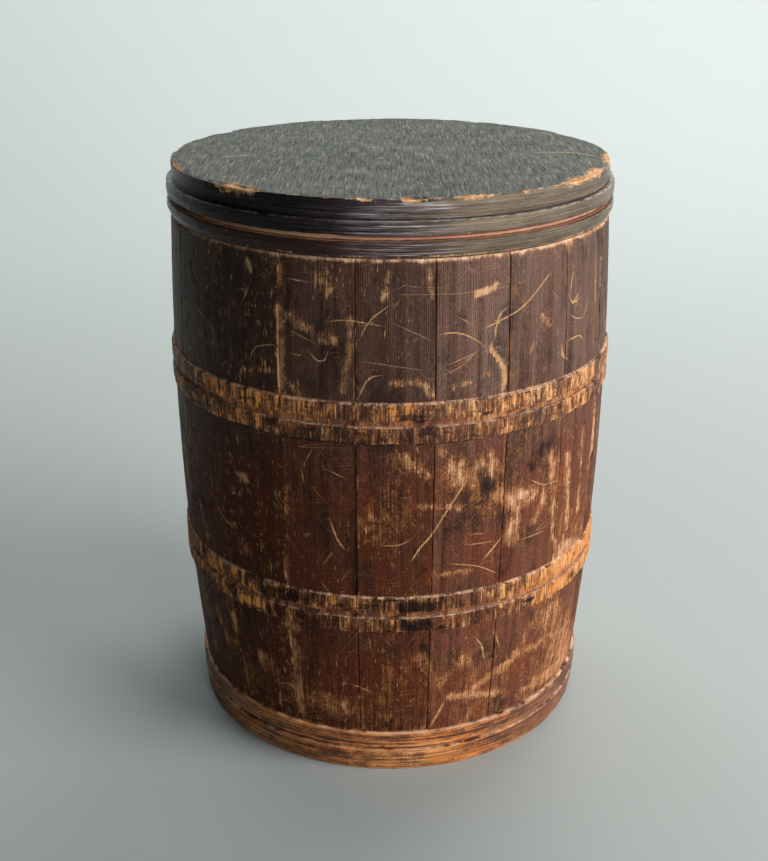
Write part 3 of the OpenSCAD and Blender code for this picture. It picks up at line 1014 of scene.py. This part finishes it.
class Wood(Graph):
    """A material of noises in the wood, counted in millimetres."""

    def __init__(self, name):
        super().__init__(name)
        self.place = self.add("ShaderNodeAttribute", {}, "Vector", attribute_name="grain")

    def field(self, name):
        """A field of the mesh, as a number."""
        return self.number("ShaderNodeAttribute", {}, "Fac", attribute_name=name)

    def axis(self, name):
        """One coordinate of a place in the wood."""
        return self.number("ShaderNodeSeparateXYZ", {0: self.place}, name)

    def noise(self, per_mm, detail=2, rough=0.5, place=None):
        """Noise with this many features per millimetre along each axis."""
        inputs = {0: self.place if place is None else place, 1: per_mm}
        scaled = self.add("ShaderNodeVectorMath", inputs, operation="MULTIPLY")
        inputs = {"Vector": scaled, "Scale": 1.0, "Detail": detail, "Roughness": rough}
        return self.number("ShaderNodeTexNoise", inputs, "Fac")

    def grit(self, per_mm, detail=2, rough=0.6, strength=0.5):
        """Noise from -strength to +strength."""
        return self.noise(per_mm, detail, rough).spread(-strength, strength, 0.28, 0.72)

    def hairs(self, turn, width):
        """Fine lines that run at an angle, broken into short lengths."""
        inputs = {"Vector": self.place, "Angle": np.radians(turn)}
        rotated = self.add("ShaderNodeVectorRotate", inputs, rotation_type="Z_AXIS")
        ridge = (self.noise((0.4, 0.015, 1), 0, place=rotated) + -0.5).math("ABSOLUTE")
        broken = self.noise((0.14, 0.16, 1), 2, place=rotated).step(0.52, 0.66)
        return ridge.step(width, 0) * broken

    def scratches(self, ragged):
        """How strongly a scratch shows: the placed ones, with ragged edges."""
        across = (self.field("across") + ragged * 1.1).math("ABSOLUTE")
        dashes = self.noise((0.9, 0.9, 0.9), 2).spread(0.15, 1.25)
        return across.step(1.3, 0.5) * self.field("cut") * dashes

    def board(self, pale, dark):
        """Plain sawn wood, for what lies inside."""
        return self.mix(pale, dark, self.noise((0.5, 0.02, 0.5), 3).step(0.4, 0.6))

    def finish(self, colour, roughness, specular, height, depth_mm):
        """The material, from its colour, its gloss and the height of its fine relief."""
        bump = {"Height": height, "Strength": 1.0, "Distance": depth_mm * MM}
        return self.shade({
            "Base Color": colour,
            "Roughness": roughness,
            "Specular IOR Level": specular,
            "Normal": self.add("ShaderNodeBump", bump),
        })


def stave_grain(g):
    """The fields and noises that the colours of a stave are made of."""
    n = SimpleNamespace(height=g.axis("Y"), wear=g.field("wear"), tone=g.field("tone"))
    n.low = n.height.step(122, 88)
    n.bold = n.tone.step(0.8, 1)
    drift = g.noise((0.22, 0.01, 1), 2) * 20
    pins = (g.axis("X") * 12 + drift).math("SINE").spread(0.2, 0.8)
    n.lines = g.noise((2.2, 0.02, 1), 1.5, 0.6)
    n.line_mask = (pins * 0.35 + n.lines * 0.9).step(0.5, 0.85)
    n.streak = g.noise((0.45, 0.012, 1), 2)
    n.blotch = g.noise((0.08, 0.05, 1), 4, 0.6)
    n.fuzz = g.grit((2.6, 1.3, 1), 2)
    n.blots = g.grit((0.5, 0.35, 1), 3)
    n.upright = g.grit((1.9, 0.06, 1), 1.5)
    return n


def stave_stain(g, n):
    """Red-brown stain, redder low down, in streaks and blotches between fine dark lines."""
    pale = g.mix((121, 95, 82), g.mix((119, 78, 61), (124, 66, 43), n.tone), n.low)
    red = g.mix((110, 77, 65), g.mix((112, 62, 46), (118, 52, 32), n.tone), n.low)
    return g.layers(
        (72, 47, 38),
        (pale, n.streak.step(0.28, 0.66)),
        (red, n.blotch.step(0.4, 0.62) * 0.7),
        ((48, 33, 31), n.blotch.step(0.46, 0.32) * 0.75),
        ((36, 14, 7), n.tone * n.low.spread(0.8, 0.68)),
        ((146, 94, 68), n.lines.step(0.52, 0.68) * n.tone * 0.22),
        ((26, 15, 12), n.line_mask * 0.55),
        ((20, 12, 10), n.fuzz.step(0, -0.5) * 0.4),
        ((170, 126, 102), n.fuzz.step(0.05, 0.5) * n.tone.spread(0.22, 0.05)),
    )


def worn_panels(g, n, stain):
    """The plain panels: stain rubbed thin and worn through to tan. Also gives where it is worn through."""
    ragged = n.fuzz * 0.5 + n.upright * 0.6 + n.blots * 0.65
    level = n.wear + ragged * n.wear.step(0.1, 0.5).spread(0.3, 1)
    through = level.step(0.48, 0.74)
    rubbed = g.mix((128, 92, 60), (150, 97, 54), n.low)
    tan = g.layers(
        (172, 122, 86),
        ((200, 160, 124), (n.blotch + n.blots * 0.3).step(0.35, 0.6)),
        ((192, 141, 101), n.height.step(48, 38)),
        ((84, 50, 32), n.line_mask * 0.75),
        ((112, 72, 44), n.streak.step(0.5, 0.7) * 0.4),
    )
    tan = g.mix((141, 93, 66), tan, level.step(0.5, 0.95))
    return g.layers(stain, (rubbed, level.step(0.2, 0.55) * 0.55), (tan, through)), through


def hoop_bands(g, n, stain):
    """The hoops: bare wood in short upright streaks on a dark ground, bolder on the darkest staves."""
    hatch = g.noise((2.4, 0.2, 1), 2, 0.6)
    pieces = g.grit((0.55, 0.18, 1), 2, 0.5)
    broken = pieces * n.bold.spread(0.62, 0.95) + n.blots * 0.35 + n.fuzz * 0.45
    level = n.wear + broken + n.upright * n.bold.spread(0.5, 0.35) + n.bold * -0.09
    bare = g.layers(
        (192, 122, 68),
        ((210, 161, 110), (n.blotch + n.blots * 0.4).step(0.36, 0.64)),
        ((224, 138, 64), n.tone * 0.65),
        ((255, 168, 84), n.bold * 0.95),
    )
    return g.layers(
        stain,
        ((32, 20, 15), n.tone.spread(0.22, 0.52)),
        ((112, 71, 47), level.step(-0.15, 0.35)),
        (bare, level.step(0.36, 0.64) * 0.82),
        ((36, 22, 16), hatch.step(0.5, 0.36) * n.tone.spread(0.6, 0.84) * n.bold.spread(1, 0.6)),
        ((218, 172, 124), hatch.step(0.56, 0.72) * level.step(-0.1, 0.4) * 0.6),
    )


def stave_cuts(g, n):
    """Where bare wood shows in scratches, nicks, flakes and hairlines."""
    spots = g.noise((2.4, 0.26, 1), 2, 0.7) + n.tone * 0.07 + n.bold * 0.024
    nicks = spots.step(0.69, 0.75) * n.blots.step(-0.1, 0.3) * n.blotch.step(0.41, 0.56) * 0.8
    flakes = (g.noise((0.9, 0.16, 1), 3, 0.75) + n.tone * 0.05).step(0.65, 0.75)
    mottle = g.grit((0.42, 0.2, 1), 4, 0.65)
    flakes = flakes * mottle.step(0, 0.35) * n.fuzz.spread(0.5, 1.1)
    hair = g.hairs(35, 0.012).most(g.hairs(-40, 0.012)).most(g.hairs(80, 0.012))
    return g.scratches(n.fuzz).most(nicks).most(flakes).most(hair * 0.21)


def stave_material():
    """Dark red-brown stain over fine upright grain, rubbed thin in places and worn through to tan."""
    g = Wood("stained_staves")
    n = stave_grain(g)
    stain = stave_stain(g, n)
    panels, through = worn_panels(g, n, stain)
    cut = stave_cuts(g, n)
    dark = g.field("dark")
    black = (dark + n.blots * 0.5 + n.fuzz * 0.4).step(0.4, 0.8)
    seam = g.field("seam") + n.fuzz * 0.6 + n.blots * 0.5
    inside = g.layers(
        (160, 108, 70),
        ((128, 82, 50), n.line_mask),
        ((104, 66, 42), n.tone * n.streak.step(0.4, 0.7) * 0.6),
        ((40, 25, 18), dark * 0.9),
    )
    colour = g.layers(
        panels,
        (hoop_bands(g, n, stain), g.field("hoop")),
        ((132, 76, 54), g.field("slot") * n.fuzz.spread(0.35, 0.75)),
        # Painted highlight on the upward faces of the hoops, and the worn pale lip at the mouth.
        ((224, 186, 160), g.field("ledge") * (n.blots + n.fuzz * 0.5).step(-0.4, 0.4)),
        ((198, 128, 76), seam.step(0.42, 0.7) * 0.95),
        ((242, 190, 138), seam.step(0.9, 1.2) * 0.9),
        # Black from the dark field: black patches, dirt in joints, and painted shade in corners and under
        # the hoops.
        ((18, 15, 16), black * 0.88),
        (g.mix((206, 154, 106), (240, 184, 126), n.tone), cut),
        (inside, g.field("inside")),
    )
    dust = g.noise((0.9, 0.7, 1), 4, 0.7)
    rough = dust.spread(0.34, 0.56) + through.most(cut) * 0.15
    specular = n.height.step(70, 130).spread(0.03, 0.12)
    relief = n.line_mask * -0.35 + n.fuzz * 0.3 + cut * -0.7 + through * -0.2
    return g.finish(colour, rough, specular, relief, 0.16)


def lid_side(g, n):
    """The painted side of the lid: ringed with fine lines, with painted light: lighter and browner to the
    right where the light falls, painted glossy highlights near the front, and a painted highlight on its
    upward face.
    """
    # Painted light: the side is near black to the left and lighter and browner to the right, where the light
    # falls, and its pale rings show more there.
    pale = g.mix((138, 120, 124), (138, 121, 99), n.lit_side)
    shade = g.mix((19, 13, 13), (82, 70, 58), n.lit_side.step(0.5, 1))
    lower = g.axis("Z").step(LID_GROOVE_Z + 0.2, LID_GROOVE_Z - 0.2) * n.lit_side.step(1, 0.7)
    # Painted glossy highlights: whitish streaks on the side near the front.
    centre = n.lit_side.step(0.15, 0.5) * n.lit_side.step(1, 0.85)
    gloss = g.noise((0.05, 0.05, 3.6), 3, 0.7).step(0.5, 0.66)
    # Painted highlight on that upward face, brighter to the right where the light falls.
    glossy_edge = g.mix((112, 98, 96), (176, 164, 156), n.lit_side)
    return g.layers(
        shade,
        (pale, n.rings.step(0.4, 0.66) * n.lit_side.spread(0.1, 0.85)),
        ((20, 16, 17), n.cloud.step(0.45, 0.65) * 0.4),
        ((58, 32, 26), lower * 0.55),
        ((206, 196, 204), gloss * centre * 0.72),
        (glossy_edge, g.field("ledge") * (n.blots + n.fuzz * 0.4).step(-0.4, 0.5)),
    )


def lid_haze_and_reflection(g, n):
    """The top of the lid: grey haze, partly dust and partly a painted reflection of the pale backdrop, with
    dark and pale flecks that run from front to back.
    """
    smudge = g.noise((0.4, 0.12, 1), 4, 0.7)
    return g.layers(
        (84, 89, 86),
        ((123, 128, 120), (smudge * 0.7 + n.cloud * 0.3).step(0.3, 0.7)),
        ((58, 62, 62), n.flecks.step(0.5, 0.36) * 0.9),
        ((212, 208, 192), n.flecks.step(0.55, 0.74) * 0.7),
        ((54, 58, 58), n.specks.step(0.4, 0.3) * 0.5),
        ((204, 172, 132), (n.specks + n.cloud * 0.1).step(0.69, 0.77) * 0.7),
    )


def lid_bare(g, n):
    """Bare wood in the chips and the groove of the lid."""
    shaded = g.axis("Z").step(LID_GROOVE_Z + 0.5, LID_GROOVE_Z + 1)
    groove = g.layers(
        (228, 172, 128),
        ((197, 136, 108), n.lit_side.step(0.1, 0.8)),
        ((222, 182, 154), n.rings.step(0.46, 0.6) * 0.5),
        ((96, 48, 36), shaded * n.lit_side.step(0.1, 0.4).spread(0.25, 0.88)),
    )
    return g.layers(
        (234, 196, 152),
        ((204, 142, 92), g.noise((0.5, 0.5, 1.4), 3).step(0.35, 0.62)),
        (groove, g.field("groove")),
        ((104, 66, 48), n.rings.step(0.48, 0.64) * n.top.spread(0.55, 0)),
    )


def lid_material():
    """Near-black paint, grey on top with haze and a painted reflection, painted light on the side, and bare
    wood where it is chipped or worn.
    """
    g = Wood("painted_lid")
    n = SimpleNamespace(top=g.field("top"), lit_side=g.field("lit_side"))
    n.fuzz = g.grit((2, 2, 2), 2)
    n.blots = g.grit((0.4, 0.4, 0.4), 3)
    n.rings = g.noise((0.03, 0.03, 2.6), 4, 0.75)
    n.flecks = g.noise((1.9, 0.1, 1), 3, 0.75)
    n.specks = g.noise((1.5, 1.1, 1.5), 2, 0.6)
    n.cloud = g.noise((0.05, 0.05, 0.2), 3)
    ragged = n.fuzz * 0.5 + n.blots * 0.5
    through = (g.field("wear") + ragged).step(0.42, 0.72)
    hair = g.hairs(60, 0.012).most(g.hairs(-75, 0.012))
    cut = g.scratches(n.fuzz).most(hair * n.top * 0.35)
    black = (g.field("dark") + ragged * 0.6).step(0.4, 0.75)
    colour = g.layers(
        lid_side(g, n),
        (lid_haze_and_reflection(g, n), n.top),
        (lid_bare(g, n), through),
        ((218, 186, 146), cut),
        # Black from the dark field: dark patches round the rim, and painted shade in corners and in the gap
        # under the lid.
        ((18, 17, 17), black * 0.85),
        (g.board((164, 112, 74), (132, 86, 54)), g.field("inside")),
    )
    sheen = g.noise((0.2, 0.2, 1.6), 3).spread(0.08, 0.42)
    rough = sheen + through * 0.25 + n.top * 0.4
    relief = n.rings * n.top.spread(1.6, 0) + n.fuzz * n.top.spread(0.3, 0.06)
    relief = relief + n.flecks * n.top * 0.05 + cut * -0.6
    return g.finish(colour, rough, n.top.spread(0.2, 0.06), relief, 0.18)


def base_material():
    """Brown stain worn thin over orange wood, with dark grain lines that lie level."""
    g = Wood("worn_base")
    wear = g.field("wear")
    fuzz = g.grit((2, 2, 2.6), 2)
    blots = g.grit((0.25, 0.25, 0.5), 3)
    rings = g.noise((0.03, 0.03, 1.9), 2, 0.6)
    ring_mask = rings.step(0.48, 0.6)
    cloud = g.noise((0.06, 0.06, 0.15), 3)
    ragged = fuzz * 0.4 + blots * 0.45 + g.grit((0.03, 0.03, 2.2), 2, strength=0.34)
    through = (wear + ragged).step(0.36, 0.68)
    thin = g.noise((0.05, 0.05, 4.4), 2, 0.6).step(0.5, 0.62)
    streaks = g.noise((0.09, 0.09, 2.4), 3, 0.7).step(0.6, 0.72)
    hair = (g.hairs(30, 0.014) * 0.4).most(streaks * wear.step(0.05, 0.45) * 0.6)
    black = (g.field("dark") + ragged * 0.5).step(0.45, 0.8)
    worn = g.layers(
        (199, 120, 60),
        ((222, 156, 98), cloud.step(0.4, 0.7)),
        ((116, 66, 36), ring_mask * 0.65),
    )
    colour = g.layers(
        (90, 56, 43),
        ((130, 82, 56), (cloud + blots * 0.25).step(0.38, 0.6)),
        ((52, 30, 22), ring_mask * 0.55),
        (worn, through),
        ((66, 38, 27), thin * 0.3),
        # Painted highlight on the upward faces.
        ((236, 194, 164), g.field("ledge") * blots.step(-0.35, 0.3) * 0.8),
        ((222, 170, 124), hair),
        # Black from the dark field: dark blotches and painted shade in hollow corners.
        ((36, 24, 19), black * 0.75),
        (g.board((156, 104, 68), (124, 80, 50)), g.field("inside")),
    )
    rough = cloud.spread(0.34, 0.5) + through * 0.15
    relief = rings + fuzz * 0.3 + hair * -0.5
    return g.finish(colour, rough, 0.18, relief, 0.15)


# Stage, light and camera


def sheet(name, xs, profile, material, keep_from=0.0):
    """A sheet drawn sideways from a profile of (depth, height), left open within keep_from of the middle."""
    profile = np.array(profile)
    places = np.stack(np.broadcast_arrays(xs[None], profile[:, :1], profile[:, 1:]), -1).reshape(-1, 3)
    faces = grid_faces(len(profile), len(xs), close_rows=False, close_columns=False)
    far = np.linalg.norm(places, axis=1) >= keep_from
    mesh = bpy.data.meshes.new(name)
    mesh.from_pydata(places.tolist(), [], faces[far[faces].all(1)].tolist())
    mesh.polygons.foreach_set("use_smooth", [True] * len(mesh.polygons))
    mesh.materials.append(material)
    thing = bpy.data.objects.new(name, mesh)
    bpy.context.scene.collection.objects.link(thing)
    return thing


def seen_only(thing):
    """The thing is seen, but neither lights nor shades anything."""
    for ray in ("diffuse", "glossy", "transmission", "shadow"):
        setattr(thing, "visible_" + ray, False)


def far_material():
    """Plain pale grey that fades in with the distance from the keg."""
    g = Graph("pale_distance")
    spot = g.add("ShaderNodeTexCoord", {}, "Object")
    moved = g.add("ShaderNodeVectorMath", {0: spot, 1: FADE_MIDDLE}, operation="SUBTRACT")
    wide = g.add("ShaderNodeVectorMath", {0: moved, 1: FADE_STRETCH}, operation="MULTIPLY")
    away = g.number("ShaderNodeVectorMath", {0: wide}, "Value", operation="LENGTH")
    return g.shade({
        "Base Color": srgb(0, 0, 0),
        "Specular IOR Level": 0.0,
        "Emission Color": srgb(198, 206, 203),
        "Emission Strength": 1.0,
        "Alpha": away.step(FADE_FROM, FADE_TO),
    })


def studio():
    """A pale floor that curves up behind and fades into a pale distance on all sides."""
    plain = Graph("pale_sweep").shade({"Base Color": srgb(173, 181, 180), "Roughness": 0.9})
    depth, rise, bend, half, ahead = 1.0, 1.6, 0.5, 2.4, 2.4
    turn = np.radians(np.linspace(0, 90, 13))
    floor = [(y, 0.0) for y in np.linspace(-ahead, depth - bend, 40)[:-1]]
    curve = list(zip(depth - bend + bend * np.sin(turn), bend - bend * np.cos(turn)))
    profile = floor + curve + [(depth, rise)]
    sheet("sweep", np.array([-half, half]), profile, plain)
    far = far_material()
    veil = [(y - VEIL_LIFT, z + VEIL_LIFT) for y, z in profile]
    seen_only(sheet("veil", np.linspace(-half, half, 61), veil, far, keep_from=VEIL_FROM))
    bpy.ops.mesh.primitive_uv_sphere_add(segments=64, ring_count=32, radius=SHELL_R)
    shell = bpy.context.object
    shell.name = "shell"
    shell.data.materials.append(far)
    seen_only(shell)


def lamp(name, place, aim, size, power, colour):
    """A soft round light at a place, turned to what it lights."""
    light = bpy.data.lights.new(name, "AREA")
    light.shape = "DISK"
    light.size = size
    light.energy = power
    light.color = colour
    thing = bpy.data.objects.new(name, light)
    bpy.context.scene.collection.objects.link(thing)
    thing.location = place
    way = np.array(aim) - np.array(place)
    thing.rotation_euler = (np.arctan2(np.hypot(way[0], way[1]), -way[2]), 0, np.arctan2(-way[0], way[1]))


def camera():
    """A camera where the photograph was taken from."""
    data = bpy.data.cameras.new("view")
    data.sensor_width = VIEW_SENSOR
    data.lens = VIEW_LENS
    thing = bpy.data.objects.new("view", data)
    bpy.context.scene.collection.objects.link(thing)
    thing.location = VIEW_PLACE
    thing.rotation_euler = (np.radians(VIEW_TILT), 0, 0)
    bpy.context.scene.camera = thing


def room():
    """Dim even light from all round."""
    world = bpy.data.worlds.new("room")
    world.use_nodes = True
    background = world.node_tree.nodes["Background"]
    background.inputs["Color"].default_value = srgb(170, 205, 208)
    background.inputs["Strength"].default_value = 0.05
    bpy.context.scene.world = world


stave_wood = stave_material()
for number, stave_node in enumerate(STAVES):
    make_stave(number, stave_node, stave_wood)
make_lid(lid_material())
make_base(base_material())

studio()
room()
lamp("key", (0.95, -0.43, 0.38), (0, 0, 0.08), 0.8, 17.5, (1.0, 0.97, 0.93))
lamp("glint", (0.42, -0.9, 0.26), (0, 0, 0.14), 0.26, 2.6, (0.92, 0.97, 1.0))
lamp("back", (0.45, 0.75, 0.85), (0.4, 0.8, 0), 0.9, 10.5, (1.0, 0.96, 0.945))
lamp("wall", (-0.4, 0.85, 0.8), (-0.35, 1.0, 0.1), 0.7, 5.6, (1.0, 1.0, 0.98))
camera()
bpy.context.scene.view_settings.view_transform = "Standard"

bpy.context.view_layer.update()
